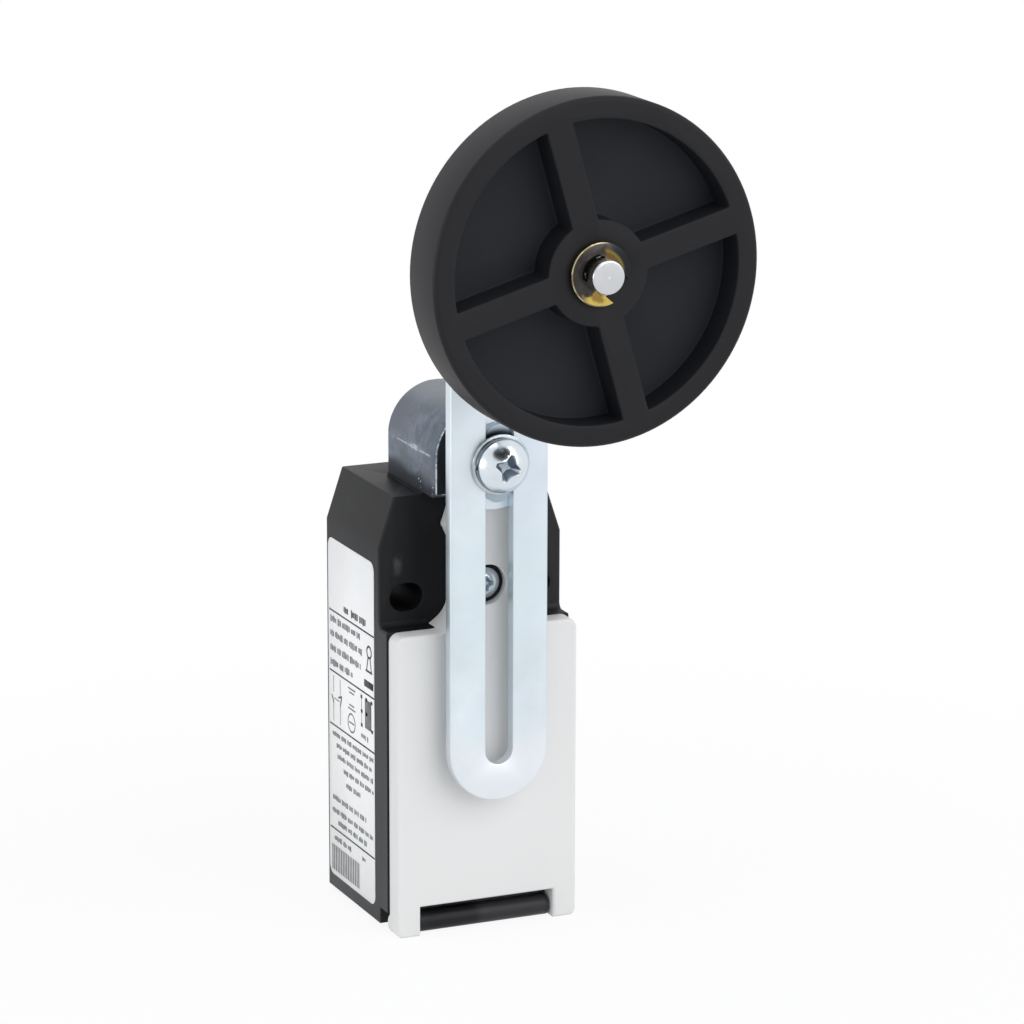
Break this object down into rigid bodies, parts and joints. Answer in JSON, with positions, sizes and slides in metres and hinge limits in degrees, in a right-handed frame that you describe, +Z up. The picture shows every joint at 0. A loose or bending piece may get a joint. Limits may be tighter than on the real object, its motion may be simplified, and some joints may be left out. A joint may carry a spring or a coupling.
{
  "type": "limit switch",
  "caption": "Safety limit switch with a roller lever: box housing with hinged front cover, arched head on top, slotted adjustable lever and a large ribbed roller.",
  "frame": {"origin": "midway between the two fixing slots, on the mounting face at the back of the housing", "axes": "+X to the right seen from the front, +Y to the back through the mounting face, +Z up towards the head"},
  "size_m": [0.05, 0.0704, 0.1339],
  "materials": {
    "black_plastic": "moulded glass-filled plastic, fine satin",
    "grey_plastic": "light grey moulded plastic, satin",
    "roller_plastic": "black moulded plastic, satin",
    "contact_plastic": "black moulded thermoset",
    "clear_plastic": "clear moulded plastic",
    "zinc_casting": "rough die-cast zinc, blue-grey",
    "zinc_plate": "bluish bright zinc-plated steel",
    "bright_steel": "bright plated steel",
    "steel": "turned steel",
    "spring_steel": "spring steel",
    "yellow_zinc": "yellow-passivated spring steel",
    "bronze": "sintered bronze",
    "brass": "brass",
    "rubber": "black nitrile rubber"
  },
  "bodies": {
    "base": {"housing": "black_plastic", "screw_insert": "brass", "cover_gasket": "rubber", "hinge_pin": "steel", "head_casting": "zinc_casting", "head_gasket": "rubber", "head_retainer": "spring_steel", "front_bush": "bronze", "rear_bush": "bronze", "shaft_seal": "rubber", "plunger_guide": "contact_plastic", "plunger_spring": "spring_steel", "contact_block": "contact_plastic", "contact_block_lid": "clear_plastic", "return_spring": "spring_steel", "lower_terminals": "brass", "upper_terminals": "brass", "terminal_clamps": "zinc_plate", "terminal_screws": "zinc_plate", "block_screws": "steel"},
    "cover": {"cover": "grey_plastic", "cover_screw": "bright_steel", "screw_seal": "rubber"},
    "rotor": {"cam_shaft": "steel", "lever_hub": "zinc_plate", "flat_washer": "bright_steel", "spring_washer": "bright_steel", "clamp_screw": "bright_steel"},
    "lever": {"lever_arm": "zinc_plate", "roller_pin": "bright_steel", "roller_spacer": "zinc_plate", "thrust_washer": "zinc_plate", "retaining_ring": "yellow_zinc"},
    "roller": {"roller": "roller_plastic", "roller_bush": "bronze"},
    "plunger": {"head_plunger": "steel"},
    "carrier": {"contact_carrier": "contact_plastic", "lower_bridge": "brass", "upper_bridge": "brass", "contact_spring": "spring_steel"}
  },
  "joints": [
    {"name": "lever_turn", "type": "hinge", "parent": "base", "child": "rotor", "pos_m": [0, -0.0171, 0.0221], "axis": [0, 1, 0], "range_deg": [-75, 75], "stiffness_Nm_per_rad": 0.08},
    {"name": "lever_length", "type": "slide", "parent": "rotor", "child": "lever", "axis": [0, 0, 1], "range_m": [-0.0125, 0.0403]},
    {"name": "roller_spin", "type": "hinge", "parent": "lever", "child": "roller", "pos_m": [0, -0.0622, 0.0572], "axis": [0, 1, 0], "continuous": true},
    {"name": "cover_hinge", "type": "hinge", "parent": "base", "child": "cover", "pos_m": [0, -0.0256, -0.0501], "axis": [1, 0, 0], "range_deg": [0, 1.1]},
    {"name": "plunger_travel", "type": "slide", "parent": "base", "child": "plunger", "axis": [0, 0, -1], "range_m": [0, 0.0012], "stiffness_N_per_m": 1600, "deforming": ["plunger_spring"]},
    {"name": "carrier_travel", "type": "slide", "parent": "base", "child": "carrier", "axis": [0, 0, -1], "range_m": [0, 0.0012], "stiffness_N_per_m": 800, "deforming": ["return_spring"]}
  ],
  "couplings": [
    {"joint": "carrier_travel", "follows": "plunger_travel", "ratio": 1}
  ]
}
